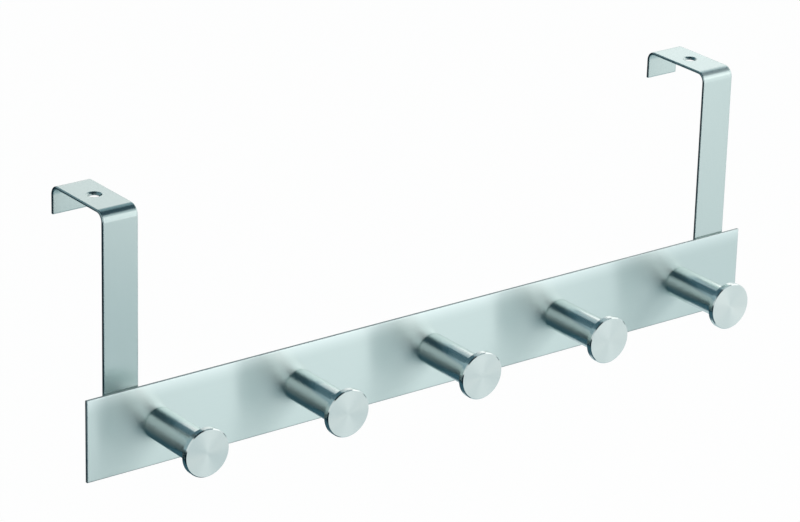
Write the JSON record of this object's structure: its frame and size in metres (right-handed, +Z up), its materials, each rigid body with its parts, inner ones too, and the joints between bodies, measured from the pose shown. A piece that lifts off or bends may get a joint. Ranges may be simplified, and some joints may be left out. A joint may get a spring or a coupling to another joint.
{
  "type": "over door hook",
  "caption": "Flat steel rail with a row of turned pegs, carried by two bent straps that hook over the top of a door.",
  "frame": {"origin": "midway between the two straps' screw holes, on the plane of the door's top edge", "axes": "+X along the rail, +Y from the room into the door, so the pegs point along -Y, +Z up"},
  "size_m": [0.43, 0.093, 0.142],
  "materials": {
    "plate_steel": "stainless steel sheet, brushed along its length",
    "strap_steel": "stainless steel strip, brushed along its length",
    "peg_steel": "stainless steel bar, fine turned",
    "screw_steel": "plain stainless steel screws"
  },
  "bodies": {
    "root": {"hook_plate": "plate_steel", "door_strap_left": "strap_steel", "door_strap_right": "strap_steel", "peg_1": "peg_steel", "peg_2": "peg_steel", "peg_3": "peg_steel", "peg_4": "peg_steel", "peg_5": "peg_steel", "peg_screws": "screw_steel"}
  },
  "joints": []
}
